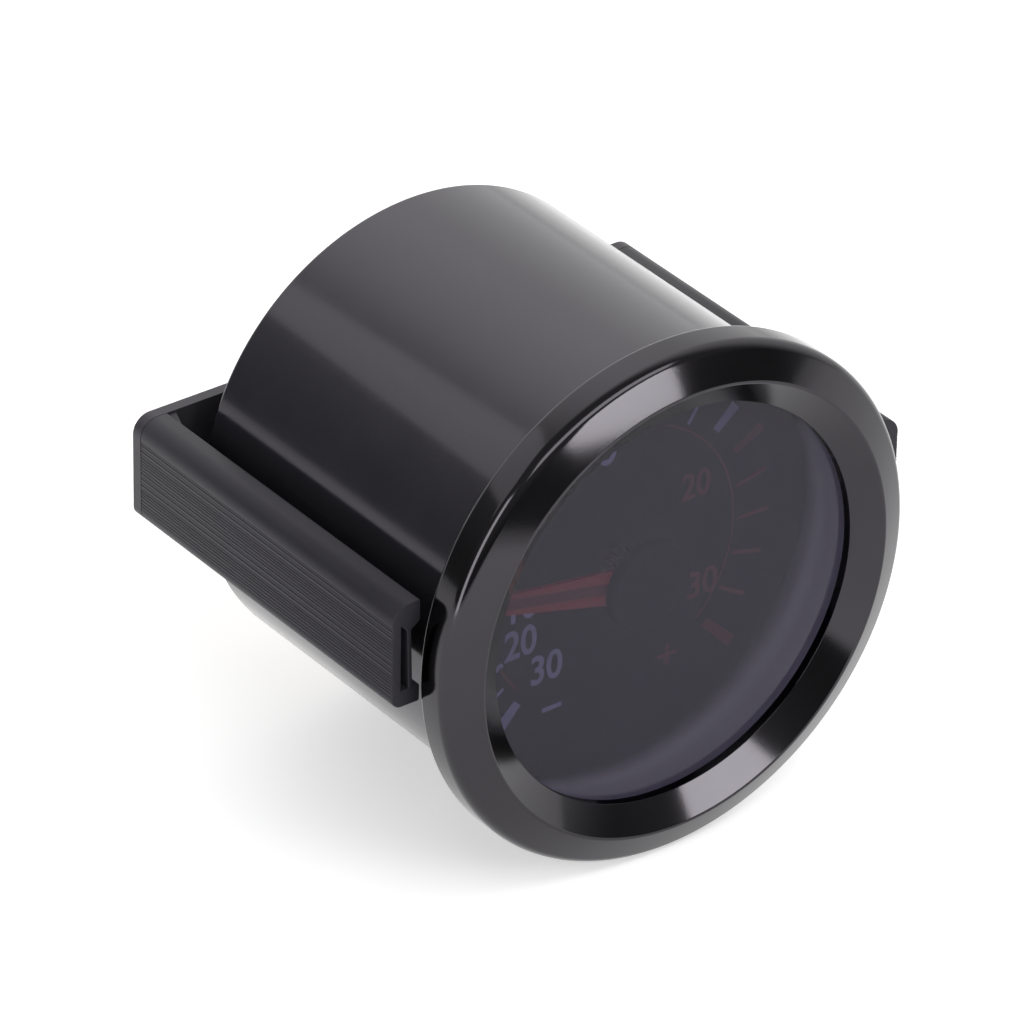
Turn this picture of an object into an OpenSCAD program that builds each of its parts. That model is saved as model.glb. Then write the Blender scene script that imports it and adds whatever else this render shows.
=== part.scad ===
// Boost and vacuum gauge for a 52 mm panel hole: a tube-driven dial movement in a round case,
// held behind the panel by a U-shaped bracket on two studs.
// Millimetres. The dial faces -Y, its right is +X and its top is +Z. The origin is the centre of
// the bezel's back face, so y = 0 is the front of the panel that the gauge is fitted in.

/* [Case] */
// Outside diameter of the case, which passes through the panel hole
case_d = 52; // [50:0.5:58]
// Depth of the case behind the bezel seat
case_depth = 40.6; // [38:0.2:56]
// Wall of the case
case_wall = 1.2; // [0.9:0.1:1.6]
// Thickness of the flange at the front of the case
flange_t = 0.7; // [0.5:0.1:1]
// Gap around the pieces that drop into the case
insert_gap = 0.2; // [0.1:0.05:0.3]

/* [Bezel] */
// How far the bezel stands out past the case all round
bezel_overhang = 2.8; // [2.4:0.1:4]
// Wall of the bezel beside the lens
bezel_wall = 1.5; // [1:0.1:1.6]
// Thickness of the bezel's inturned back lip
lip_t = 0.7; // [0.5:0.1:1]
// Gap between the back lip and the case
lip_gap = 0.12; // [0.05:0.01:0.2]
// Height of the crest above the seat
crest_h = 5.74; // [5.2:0.02:7]
// Distance of the crest in from the outside
crest_inset = 3.7; // [3:0.1:4.5]
// Height of the outer shoulder above the seat
shoulder_h = 4; // [3.2:0.1:4.4]
// Radius of the rounded shoulder
shoulder_round = 0.7; // [0.3:0.1:1]
// Radius of the rounded crest
crest_round = 0.3; // [0.1:0.05:0.4]
// Radius of the rounded back edge
back_round = 0.7; // [0.3:0.05:0.8]
// Width of the bezel's ring, from its outside to the lens opening
ring_w = 6.64; // [6:0.02:7.4]
// Height of the straight wall around the lens
lens_wall_h = 0.93; // [0.6:0.01:1.1]

/* [Lens] */
// Thickness of the lens
lens_t = 1.2; // [1:0.1:1.4]
// Thickness of the gasket under the lens
gasket_t = 0.3; // [0.2:0.05:0.5]

/* [Dial and pointer] */
// Depth of the dial's face behind the seat, as a share of the case's depth
dial_share = 0.148; // [0.14:0.001:0.17]
// Thickness of the dial plate
dial_t = 0.8; // [0.5:0.1:1.2]
// Radius of the hole in the dial
dial_hole_r = 1.8; // [1.7:0.1:2.5]
// Wall of the ring that holds the dial back from the lens
spacer_wall = 0.6; // [0.4:0.1:1]
// Depth of the pointer's face behind the seat
pointer_y = 1; // [0.9:0.1:2]
// Thickness of the pointer's blade
pointer_t = 0.5; // [0.3:0.1:0.8]
// Reach of the pointer from its axis
pointer_reach = 19; // [15:0.2:20]
// Width of the blade at the cap
pointer_root_w = 4; // [3:0.1:4]
// Width of the blade where its point begins
pointer_end_w = 2.2; // [1.4:0.1:2.4]
// Length of the blade's point
pointer_point = 1.2; // [0.8:0.1:2]
// Angle of the pointer at rest, anticlockwise from 3 o'clock
pointer_rest = 168; // [150:1:175]
// Radius of the cap over the pointer's hub
cap_r = 5; // [4:0.1:6]
// Thickness of the cap
cap_t = 1.2; // [0.8:0.1:1.4]
// Radius of the pointer's bush
bush_r = 1.4; // [1.2:0.1:1.6]
// Length of the pointer's bush
bush_len = 2.6; // [2:0.1:3.4]

/* [Lighting] */
// Depth of the reflector tray, as a share of the case's depth
tray_share = 0.153; // [0.14:0.001:0.17]
// Wall and floor of the reflector tray
tray_wall = 1; // [0.8:0.1:1.4]
// Thickness of the lamp board
board_t = 0.8; // [0.6:0.1:1.2]
// Radius of the hole in the lamp board
board_hole_r = 5.5; // [4:0.5:7]
// Number of lamps
led_count = 8; // [4:1:12]
// Width of a lamp
led_w = 3; // [2:0.1:3.4]
// Height of a lamp
led_h = 1; // [0.6:0.1:1.4]
// Distance of the lamps in from the board's edge
led_inset = 5; // [4:0.1:6]

/* [Movement] */
// Radius of the two movement plates, as a share of the Bourdon tube's
plate_share = 0.84; // [0.82:0.01:0.86]
// Thickness of a movement plate
plate_t = 1.2; // [1:0.1:1.6]
// Space between the movement plates, as a share of the case's depth
gap_share = 0.1675; // [0.16:0.0005:0.19]
// Radius of a pillar
pillar_r = 1.5; // [1.2:0.1:1.6]
// Distance of the pillars in from the plates' edge
pillar_inset = 2.3; // [2:0.1:2.5]
// Radius of the pointer's arbor
arbor_r = 0.6; // [0.5:0.05:0.7]
// Radius of the sector gear's arbor
sector_arbor_r = 0.8; // [0.7:0.05:1]
// Radius of the pivots that turn in the plates
pivot_r = 0.45; // [0.35:0.05:0.45]
// Running clearance of a pivot or a pin
running_gap = 0.04; // [0.02:0.01:0.06]

/* [Gears] */
// Distance between the two arbors, as a share of the plates' radius
centre_share = 0.8; // [0.78:0.01:0.82]
// Teeth on the pinion
pinion_teeth = 10; // [10:1:10]
// Turns of the pinion for one turn of the sector
gear_ratio = 8; // [8:1:8]
// Face width of the sector gear
sector_t = 1.2; // [0.8:0.1:1.4]
// Length of the pinion's teeth
pinion_len = 2.4; // [2:0.1:2.8]
// Amount taken off each side of a tooth so that the gears run free
tooth_play = 0.03; // [0.02:0.005:0.05]

/* [Bourdon tube] */
// Width of the tube along the gauge's axis, as a share of the case's depth
tube_share = 0.148; // [0.12:0.002:0.16]
// Thickness of the flattened tube
tube_t = 2.2; // [1.8:0.1:2.6]
// Wall of the tube
tube_wall = 0.4; // [0.3:0.05:0.5]
// Space between the tube and the case
tube_clear = 3.7; // [3.2:0.1:5]
// Space between the back plate and the tube
tube_behind_plate = 1.4; // [1:0.1:2]

/* [Pressure socket] */
// Width of the socket block
block_w = 13; // [12.6:0.1:14]
// Distance of the port's axis below the gauge's, as a share of the case's radius
port_share = 0.5; // [0.49:0.005:0.52]
// Radius of the port's male thread, 1/8 inch pipe size
port_r = 5.14; // [4.8:0.02:5.2]
// Step from the port's thread up to the neck that the port nut fits
port_step = 0.36; // [0.2:0.02:0.4]
// Length of thread left free for the hose fitting
port_len = 10; // [8:0.5:14]
// Radius of the bore through the port
port_bore_r = 1.5; // [1:0.1:2]
// Radius of the passage from the bore to the tube
passage_r = 0.5; // [0.3:0.05:0.55]
// Distance across the flats of the port nut
port_nut_w = 13; // [12.6:0.1:14]
// Thickness of the port nut
port_nut_t = 3; // [2.4:0.1:4]
// Width of the sealing ring around the port
port_ring_w = 0.9; // [0.6:0.1:1.2]
// Thickness of the sealing ring around the port
port_ring_t = 0.4; // [0.3:0.1:0.6]

/* [Rear cover] */
// Thickness of the rear cover
cover_t = 1.6; // [1.4:0.1:2.2]
// Radius of the two raised pads that the bracket stops against
pad_r = 4.2; // [4:0.1:5]
// Height of the raised pads
pad_h = 2.8; // [1:0.1:4]
// Distance from the cover's edge to the screws
cover_screw_inset = 2.4; // [2.2:0.1:2.6]
// Radius of the screw bosses inside the case
case_boss_r = 2.2; // [1.8:0.1:2.4]
// Length of the screw bosses, as a share of the case's depth
boss_share = 0.148; // [0.13:0.002:0.16]
// Space between the wire inlet and the screw boss above it
inlet_gap = 1.6; // [0.8:0.1:2]
// Radius of the wire inlet's bore
inlet_bore_r = 1.8; // [1.2:0.1:2]
// Radius of the grommet's neck in the cover
inlet_neck_r = 3; // [2.6:0.1:3.2]
// Radius of the grommet's two flanges
inlet_flange_r = 4.2; // [3.8:0.1:4.4]

/* [Studs and nuts] */
// Distance between the two studs
stud_spacing = 22; // [20:0.5:26]
// Height of the studs above the gauge's axis
stud_rise = 2.9; // [2:0.1:3.5]
// Radius of a stud, M4
stud_r = 2; // [1.5:0.1:2]
// Radius of a stud's head inside the cover
stud_head_r = 3.4; // [2.8:0.1:3.6]
// Thickness of a stud's head
stud_head_t = 1.4; // [1:0.1:2]
// Outside radius of a thumb nut
nut_r = 4.2; // [3.8:0.1:5]
// Thickness of a thumb nut
nut_t = 3.4; // [2.6:0.1:4]
// Ridges around a thumb nut
nut_ridges = 24; // [16:2:30]
// Depth of the grooves between the ridges
nut_groove = 0.25; // [0.1:0.05:0.4]
// Thickness of a flat washer
washer_t = 0.6; // [0.5:0.1:1]
// Outside radius of a flat washer
washer_r = 4.4; // [4:0.1:5]
// Thickness of a spring washer when the nut is tight
spring_washer_t = 0.8; // [0.6:0.1:1.2]
// Outside radius of a spring washer
spring_washer_r = 3.6; // [3.2:0.1:3.8]

/* [Bracket] */
// Height of the bracket
bracket_h = 11.7; // [10:0.1:12]
// Width of the arms' inturned lips
arm_w = 3.34; // [3:0.02:4]
// Gap between the case and the arms
arm_clear = 2.26; // [1.6:0.02:4]
// Gap between the bezel seat and the arms' front ends with the bracket fully forward
arm_gap = 0.5; // [0.2:0.1:2]
// Outer wall of an arm
arm_wall = 1.1; // [0.9:0.05:1.2]
// Width of the narrow slot inside an arm
slot_w = 0.7; // [0.5:0.05:0.75]
// Thickness of the leaf between the slot and the open side
leaf_t = 0.5; // [0.4:0.05:0.6]
// Height of the top lip at its inner edge
top_lip_h = 2.35; // [2:0.05:2.8]
// Height of the bottom flange
bottom_lip_h = 1.9; // [1.6:0.05:2.4]
// Radius of the arms' top outer edge
arm_round = 2; // [1.4:0.1:2.4]
// Radius of the arms' bottom outer edge
arm_foot_round = 1.2; // [0.6:0.1:1.6]
// Number of fine grooves along an arm
groove_count = 14; // [6:1:16]
// Width of a groove
groove_w = 0.22; // [0.1:0.02:0.3]
// Depth of a groove
groove_d = 0.14; // [0.06:0.02:0.2]
// Thickness of the bracket's back plate
bracket_t = 1.3; // [1.2:0.1:2]
// Clearance of a stud in the back plate
stud_gap = 0.25; // [0.15:0.05:0.4]
// How far the bracket can slide back for a thicker panel
bracket_travel = 4; // [2:0.5:10]
// Distance between the two screws of an arm
arm_screw_spacing = 5.2; // [4:0.1:5.6]

/* [Hidden] */
$fn = 96;

// Overrun of every cut past the face that it opens
over = 0.4;
// Clearance of a press fit or a thread that is drawn plain
press_gap = 0.02;
thread_gap = 0.05;

case_r = case_d / 2;
bore_r = case_r - case_wall;
insert_r = bore_r - insert_gap;

// Depths of the layers and radii of the movement, all from the case's own sizes
dial_y = case_depth * dial_share;
tray_h = case_depth * tray_share;
plate_gap = case_depth * gap_share;
tube_w = case_depth * tube_share;
case_boss_len = case_depth * boss_share;
port_drop = case_r * port_share;
tube_r = bore_r - tube_clear - tube_t / 2;
plate_r = tube_r * plate_share;
centre_distance = plate_r * centre_share;

// Bezel, flange, gasket and lens, stacked forward from the seat at y = 0
bezel_r = case_r + bezel_overhang;
pocket_r = bezel_r - bezel_wall;
flange_r = pocket_r - insert_gap;
opening_r = bezel_r - ring_w;
crest_r = bezel_r - crest_inset;
flange_back_y = -lip_t;
flange_y = flange_back_y - flange_t;
gasket_y = flange_y - gasket_t;
lens_y = gasket_y - lens_t;
cone_edge_y = lens_y - lens_wall_h;

// Dial, tray and movement, stacked back from the dial's face
spacer_gap = 0.1;
tray_y = dial_y + dial_t;
front_plate_y = tray_y + tray_h;
board_y = front_plate_y - tray_wall - board_t;
board_gap = 0.3;
board_r = insert_r - tray_wall - board_gap;
led_y = board_y - led_h;
led_ring_r = board_r - led_inset;
gap_y = front_plate_y + plate_t;
back_plate_y = gap_y + plate_gap;
block_y = back_plate_y + plate_t;
tray_hole_r = 3;

// Rear cover and what stands on it
cover_y = case_depth - cover_t;
cover_screw_ring = insert_r - cover_screw_inset;
cover_screw_angles = [90, 210, 330];
cover_screw_r = 0.9;
cover_screw_head_r = 1.8;
cover_screw_head_t = 1.1;
cover_screw_len = case_boss_len;
cover_hole_gap = 0.25;

// Places as [x, z] on the gauge's face
function polar(r, angle) = [r * cos(angle), r * sin(angle)];
port = [0, -port_drop];
inlet = [0, cover_screw_ring - case_boss_r - inlet_gap - inlet_flange_r];
studs = [[-stud_spacing / 2, stud_rise], [stud_spacing / 2, stud_rise]];

// Gears. The sector's pivot lies below and right of the pointer's arbor.
pressure_angle = 25;
sector_teeth = pinion_teeth * gear_ratio;
tooth_module = centre_distance * 2 / (pinion_teeth + sector_teeth);
pinion_pitch_r = tooth_module * pinion_teeth / 2;
sector_pitch_r = tooth_module * sector_teeth / 2;
pinion_addendum = tooth_module * 0.8;
sector_addendum = tooth_module * 0.65;
dedendum = tooth_module * 1.1;
tooth_angle = 360 / sector_teeth;
pivot_angle = -55;
pivot = polar(centre_distance, pivot_angle);
flank_steps = 4;
// Swing of the sector: from full vacuum to the highest pressure
pressure_swing = 26.625;
vacuum_swing = 7.125;
first_tooth = -ceil(pressure_swing / tooth_angle + 1);
last_tooth = ceil(vacuum_swing / tooth_angle + 1);
sector_hub_r = 2.2;
sector_rim_w = 1.6;
sector_y = gap_y + (plate_gap - sector_t) * 0.42;
pinion_y = sector_y - (pinion_len - sector_t) / 2;
stop_pin_r = 0.6;
stop_reach = sector_pitch_r * 2 / 3;
stop_gap = 0.08;
tail_share = 0.3;
tail_len = centre_distance * tail_share;
tail_angle = -62.3;
tail_w = 2.4;
tail_pin = pivot + polar(tail_len, tail_angle);

// Bourdon tube, a C around the movement from the socket block to the free tip
tube_y = block_y + tube_behind_plate;
tube_start = 261;
tube_tip_angle = -20;
braze_gap = 0.05;
tip_len = 2.6;
tip_rim = 0.3;
tip_post_r = 1.1;
tip = polar(tube_r, tube_tip_angle) + polar(tip_len / 2, tube_tip_angle - 90);
link_t = 0.5;
link_gap = 0.2;
link_y = sector_y + sector_t + link_gap;
link_w = 2.2;
link_pin_r = 0.45;
link_reach = norm(tip - tail_pin);
link_angle = atan2(tip[1] - tail_pin[1], tip[0] - tail_pin[0]);
// Travel of the tip pin in the link's slot, inwards and outwards from rest
slot_in = centre_distance * 0.145;
slot_out = centre_distance * 0.05;
slot_gap = 0.22;

// Socket block
block_rim = 0.8;
block_low = -(tube_r + tube_t / 2 + block_rim);
neck_r = port_r + port_step;
block_high = -port_drop + neck_r + port_ring_w;
block_back_y = cover_y - port_ring_t;
port_end_y = case_depth + port_nut_t + port_len;
port_chamfer = 0.6;
movement_screw_x = 3.2;
movement_screw_r = 0.8;
movement_screw_len = 3.2;
small_head_r = 1.3;
small_head_t = 0.9;
restrictor_r = 0.35;
restrictor_len = 3;

// Hairspring behind the gears
collet_r = 1.3;
collet_t = 1.2;
hairspring_t = 0.14;
hairspring_w = 0.4;
hairspring_turns = 4;
hairspring_reach = 3;
hairspring_steps = 24;
hairspring_out_r = collet_r + hairspring_t + hairspring_reach;
collet_y = back_plate_y - collet_t - link_gap * 2;
anchor_r = 0.5;

// Bracket, seen from the front with the outer face of an arm at u = 0
bracket_rest_gap = 0.05;
bracket_y = case_depth + pad_h + bracket_rest_gap;
half_w = case_r + arm_clear + arm_w;
bracket_z = stud_rise - bracket_h / 2;
arm_len = bracket_y - arm_gap;
leaf_u = arm_wall + slot_w;
leaf_lean = 0.2;
lip_slope = 0.8;
groove_low = 1.7;
groove_high = bracket_h - arm_round - groove_w;
gusset_w = 1;
gusset_len = 2.6;
arm_screw_u = arm_wall + slot_w / 2;
arm_screw_r = 0.65;
arm_screw_head_r = 1.1;
arm_screw_len = 7;
arm_screw_sink = 0.7;

// Washers and nuts, stacked behind the back plate
washer_y = bracket_y + bracket_t;
spring_washer_y = washer_y + washer_t;
nut_y = spring_washer_y + spring_washer_t;
nut_collar_t = 0.7;
stud_end_y = nut_y + nut_t + bracket_travel + bracket_rest_gap;
stud_tip = 0.4;

// A flat piece drawn as seen from the front, with its front at y
module slab(y, t) translate([0, y + t, 0]) rotate([90, 0, 0]) linear_extrude(t) children();
// A round bar along the gauge's axis at place [x, z]
module bar(place, r, y, back_y)
    translate([place[0], y, place[1]]) rotate([-90, 0, 0]) cylinder(r = r, h = back_y - y);
// A piece turned about the gauge's axis, from an outline of [radius, y] points
module turned(outline) rotate([-90, 0, 0]) rotate_extrude() polygon(outline);
// A round bar that narrows from r to end_r
module taper(place, r, end_r, y, back_y)
    translate([place[0], y, place[1]]) rotate([-90, 0, 0])
        cylinder(r1 = r, r2 = end_r, h = back_y - y);

// Points of an arc about centre, from angle a to angle b
function arc(centre, r, a, b, steps = 6) =
    [for (i = [0:steps]) centre + polar(r, a + (b - a) * i / steps)];

// The crest and shoulder are arcs tangent to the front chamfer and to their neighbours
chamfer_angle = atan2(crest_h - shoulder_h, crest_inset);
cone_angle = atan2(crest_h + cone_edge_y, crest_r - opening_r);

function bezel_outline() = concat(
    [[case_r + lip_gap, 0], [bezel_r - back_round, 0]],
    arc([bezel_r - back_round, -back_round], back_round, 90, 0),
    arc([bezel_r - shoulder_round, -shoulder_h + shoulder_round * tan(45 - chamfer_angle / 2)],
        shoulder_round, 0, chamfer_angle - 90),
    arc([crest_r, -crest_h + crest_round], crest_round, chamfer_angle - 90, -90 - cone_angle),
    [[opening_r, cone_edge_y], [opening_r, lens_y], [pocket_r, lens_y],
     [pocket_r, flange_back_y], [case_r + lip_gap, flange_back_y]]);

// Rolled metal ring that holds the lens and gasket on the case flange
module bezel() color("#1c1b1f") turned(bezel_outline());

module lens() color([0.2, 0.19, 0.22, 0.45])
    bar([0, 0], flange_r, lens_y, gasket_y);

module lens_gasket() color("#161616") difference() {
    bar([0, 0], flange_r, gasket_y, flange_y);
    bar([0, 0], bore_r, gasket_y - over, flange_y + over);
}

// Pale wall seen through the lens between the bezel and the dial
module spacer_ring() color("#8b8aa8") difference() {
    bar([0, 0], insert_r, gasket_y + spacer_gap, dial_y);
    bar([0, 0], insert_r - spacer_wall, gasket_y, dial_y + over);
}

// Open tube with the front flange and three screw bosses inside its back end
module case_body() color("#2a292d") difference() {
    union() {
        bar([0, 0], case_r, flange_back_y, case_depth);
        bar([0, 0], flange_r, flange_y, flange_back_y);
    }
    difference() {
        bar([0, 0], bore_r, flange_y - over, case_depth + over);
        for (a = cover_screw_angles) case_boss(a);
    }
    for (a = cover_screw_angles)
        bar(polar(cover_screw_ring, a), cover_screw_r + thread_gap,
            cover_y - cover_screw_len - over, cover_y + over);
}

// A round boss with a web that joins it to the wall
module case_boss(a) {
    bar(polar(cover_screw_ring, a), case_boss_r, cover_y - case_boss_len, cover_y);
    slab(cover_y - case_boss_len, case_boss_len) rotate(a)
        translate([cover_screw_ring, -case_boss_r])
            square([bore_r - cover_screw_ring + over, case_boss_r * 2]);
}

module rear_cover() color("#232226") difference() {
    union() {
        bar([0, 0], insert_r, cover_y, case_depth);
        for (s = studs) bar(s, pad_r, cover_y, case_depth + pad_h);
    }
    for (s = studs) bar(s, stud_r + press_gap, cover_y - over, case_depth + pad_h + over);
    bar(port, neck_r + thread_gap, cover_y - over, case_depth + over);
    bar(inlet, inlet_neck_r + press_gap, cover_y - over, case_depth + over);
    for (a = cover_screw_angles)
        bar(polar(cover_screw_ring, a), cover_screw_r + cover_hole_gap,
            cover_y - over, case_depth + over);
}

// Pan-head screw along +Y from its thread end to its head, with a cross slot
module pan_screw(place, r, len, head_r, head_t, head_y) {
    cross_w = head_r * 0.22;
    cross_d = head_t * 0.6;
    difference() {
        union() {
            bar(place, r, head_y - len, head_y);
            bar(place, head_r, head_y, head_y + head_t);
        }
        translate([place[0], head_y + head_t - cross_d, place[1]]) for (a = [0, 90])
            rotate([0, a, 0]) translate([-head_r * 0.6, 0, -cross_w / 2])
                cube([head_r * 1.2, cross_d + over, cross_w]);
    }
}

module cover_screws() color("#3a3a3e") for (a = cover_screw_angles)
    pan_screw(polar(cover_screw_ring, a), cover_screw_r, cover_screw_len,
              cover_screw_head_r, cover_screw_head_t, case_depth);

module dial_plate() color("#2e2d33") difference() {
    bar([0, 0], insert_r, dial_y, dial_y + dial_t);
    bar([0, 0], dial_hole_r, dial_y - over, dial_y + dial_t + over);
}

// Tapered blade with a bush behind it that presses on the arbor
module pointer() color("#b0303a") difference() {
    union() {
        slab(pointer_y, pointer_t) rotate(pointer_rest) polygon([
            [-cap_r / 2, -pointer_root_w / 2], [cap_r / 2, -pointer_root_w / 2],
            [pointer_reach - pointer_point, -pointer_end_w / 2], [pointer_reach, 0],
            [pointer_reach - pointer_point, pointer_end_w / 2],
            [cap_r / 2, pointer_root_w / 2], [-cap_r / 2, pointer_root_w / 2]]);
        bar([0, 0], bush_r, pointer_y, pointer_y + pointer_t + bush_len);
    }
    bar([0, 0], arbor_r + press_gap, pointer_y - over, pointer_y + pointer_t + bush_len + over);
}

// Domed button over the pointer's hub
cap_round = cap_t / 2;
module hub_cap() color("#141416") turned(concat(
    [[0, pointer_y - cap_t]],
    arc([cap_r - cap_round, pointer_y - cap_t + cap_round], cap_round, -90, 0),
    [[cap_r, pointer_y], [0, pointer_y]]));

// Involute teeth. The half width of a tooth, as an angle, falls from the base circle to the tip.
function involute(a) = tan(a) * 180 / PI - a;
function half_tooth(r, pitch_r, teeth) =
    let (base_r = pitch_r * cos(pressure_angle))
    90 / teeth - tooth_play / pitch_r * 180 / PI + involute(pressure_angle)
    - involute(acos(min(1, base_r / max(r, base_r))));
function tooth(middle, root_r, tip_r, pitch_r, teeth) =
    let (foot_r = max(root_r, pitch_r * cos(pressure_angle)),
         radii = concat([root_r],
             [for (i = [0:flank_steps]) foot_r + (tip_r - foot_r) * i / flank_steps]))
    concat([for (i = [0:len(radii) - 1])
                polar(radii[i], middle - half_tooth(radii[i], pitch_r, teeth))],
           [for (i = [len(radii) - 1:-1:0])
                polar(radii[i], middle + half_tooth(radii[i], pitch_r, teeth))]);

function pinion_outline() = [
    for (k = [0:pinion_teeth - 1])
        each tooth(pivot_angle + (k + 0.5) * 360 / pinion_teeth, pinion_pitch_r - dedendum,
                   pinion_pitch_r + pinion_addendum, pinion_pitch_r, pinion_teeth)];

// Arbor from the pointer to the back plate, with the pinion cut on it
module pinion_arbor() color("#c9a94f") {
    bar([0, 0], arbor_r, pointer_y, back_plate_y - running_gap);
    slab(pinion_y, pinion_len) polygon(pinion_outline());
    bar([0, 0], pivot_r, back_plate_y - over, back_plate_y + plate_t);
}

function spiral(offset) = [
    for (i = [0:hairspring_turns * hairspring_steps])
        polar(collet_r + offset + hairspring_reach * i / (hairspring_turns * hairspring_steps),
              360 * i / hairspring_steps)];
function reversed(list) = [for (i = [len(list) - 1:-1:0]) list[i]];

module hairspring() color("#b9bcc4")
    slab(collet_y + (collet_t - hairspring_w) / 2, hairspring_w)
        polygon(concat(spiral(0), reversed(spiral(hairspring_t))));

module hairspring_collet() color("#c9a94f") difference() {
    bar([0, 0], collet_r - press_gap, collet_y, collet_y + collet_t);
    bar([0, 0], arbor_r + press_gap, collet_y - over, collet_y + collet_t + over);
}

// Peg in the back plate that holds the hairspring's outer end
module hairspring_anchor() color("#c9a94f")
    bar([hairspring_out_r + anchor_r, 0], anchor_r, collet_y, back_plate_y);

tray_screw_ring = plate_r * 0.6;
tray_screw_angles = [60, 180, 300];
tray_screw_r = 0.8;
tray_screw_head_r = 1.5;

// White cup behind the dial that spreads the lamps' light
module reflector_tray() color("#e9e7e1") difference() {
    bar([0, 0], insert_r, tray_y, front_plate_y);
    difference() {
        bar([0, 0], insert_r - tray_wall, tray_y - over, front_plate_y - tray_wall);
        bar([0, 0], tray_hole_r + tray_wall, tray_y, front_plate_y);
    }
    bar([0, 0], tray_hole_r, tray_y - over, front_plate_y + over);
    for (a = tray_screw_angles)
        bar(polar(tray_screw_ring, a), tray_screw_r + thread_gap, board_y, front_plate_y + over);
}

module lamp_board() color("#1f5a35") difference() {
    bar([0, 0], board_r, board_y, board_y + board_t);
    bar([0, 0], board_hole_r, board_y - over, board_y + board_t + over);
    for (a = tray_screw_angles)
        bar(polar(tray_screw_ring, a), tray_screw_r + thread_gap,
            board_y - over, board_y + board_t + over);
}

module lamps() color("#f4f1d8") for (k = [0:led_count - 1])
    slab(led_y, led_h) rotate((k + 0.5) * 360 / led_count)
        translate([led_ring_r - led_w / 2, -led_w / 2]) square(led_w);

// Screws from inside the tray, through board and floor, into the front plate
module tray_screws() color("#9a9aa0") for (a = tray_screw_angles) {
    bar(polar(tray_screw_ring, a), tray_screw_r, board_y, gap_y);
    bar(polar(tray_screw_ring, a), tray_screw_head_r, board_y - small_head_t, board_y);
}

pillar_angles = [20, 163, 239];
spigot_r = pillar_r * 0.55;
pillar_ring = plate_r - pillar_inset;

// Holes that both plates share: spigots of the pillars and the sector arbor's pivot
module plate_holes(y) {
    for (a = pillar_angles)
        bar(polar(pillar_ring, a), spigot_r + press_gap, y - over, y + plate_t + over);
    bar(pivot, pivot_r + running_gap, y - over, y + plate_t + over);
}

module front_plate() color("#c2a24a") difference() {
    bar([0, 0], plate_r, front_plate_y, gap_y);
    plate_holes(front_plate_y);
    bar([0, 0], arbor_r + running_gap, front_plate_y - over, gap_y + over);
    for (a = tray_screw_angles)
        bar(polar(tray_screw_ring, a), tray_screw_r + thread_gap,
            front_plate_y - over, gap_y + over);
    for (s = stop_places)
        bar(s, stop_pin_r + press_gap, front_plate_y - over, gap_y + over);
}

module back_plate() color("#c2a24a") difference() {
    bar([0, 0], plate_r, back_plate_y, block_y);
    plate_holes(back_plate_y);
    bar([0, 0], pivot_r + running_gap, back_plate_y - over, block_y + over);
    for (s = movement_screw_places)
        bar(s, movement_screw_r + thread_gap, back_plate_y - over, block_y + over);
}

// Pillars between the plates, with spigots staked into them
module pillars() color("#c9a94f") for (a = pillar_angles) {
    bar(polar(pillar_ring, a), pillar_r, gap_y, back_plate_y);
    bar(polar(pillar_ring, a), spigot_r, front_plate_y, block_y);
}

// Angles of the sector's edges from the line that joins the two arbors
sector_from = (first_tooth - 0.5) * tooth_angle;
sector_to = (last_tooth + 0.5) * tooth_angle;
to_centre = pivot_angle + 180;
stop_lead = asin((stop_pin_r + stop_gap) / stop_reach);
stop_places = [
    pivot + polar(stop_reach, to_centre + sector_from - vacuum_swing - stop_lead),
    pivot + polar(stop_reach, to_centre + sector_to + pressure_swing + stop_lead)];

// Two pins in the front plate that end the sector's swing
module stop_pins() color("#9a9aa0") for (s = stop_places)
    bar(s, stop_pin_r, front_plate_y, sector_y + sector_t);

function sector_outline() = concat(
    [[0, 0]],
    [for (k = [first_tooth:last_tooth])
        each tooth(to_centre + k * tooth_angle, sector_pitch_r - dedendum,
                   sector_pitch_r + sector_addendum, sector_pitch_r, sector_teeth)]);

// Toothed sector with a window in its web and a tail for the link
module sector_gear() color("#cdb057") translate([pivot[0], 0, pivot[1]]) difference() {
    slab(sector_y, sector_t) difference() {
        union() {
            polygon(sector_outline());
            circle(sector_hub_r);
            rotate(tail_angle) {
                translate([0, -tail_w / 2]) square([tail_len, tail_w]);
                translate([tail_len, 0]) circle(tail_w / 2);
            }
        }
        intersection() {
            polygon([[0, 0],
                     polar(sector_pitch_r, to_centre + sector_from + tooth_angle * 1.5),
                     polar(sector_pitch_r * 1.1, to_centre + (sector_from + sector_to) / 2),
                     polar(sector_pitch_r, to_centre + sector_to - tooth_angle * 1.5)]);
            difference() {
                circle(sector_pitch_r - dedendum - sector_rim_w);
                circle(sector_pitch_r - dedendum - sector_rim_w * 4);
            }
        }
    }
    bar([0, 0], sector_arbor_r + press_gap, sector_y - over, sector_y + sector_t + over);
    bar(polar(tail_len, tail_angle), link_pin_r + press_gap,
        sector_y - over, sector_y + sector_t + over);
}

module sector_arbor() color("#9a9aa0") {
    bar(pivot, sector_arbor_r, gap_y + running_gap, back_plate_y - running_gap);
    bar(pivot, pivot_r, front_plate_y, block_y);
}

// Pin on the sector's tail that carries the link, headed behind it
module tail_pin() color("#9a9aa0") {
    bar(tail_pin, link_pin_r, sector_y, link_y + link_t + running_gap + link_t);
    bar(tail_pin, link_pin_r * 2, link_y + link_t + running_gap,
        link_y + link_t + running_gap + link_t);
}

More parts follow.
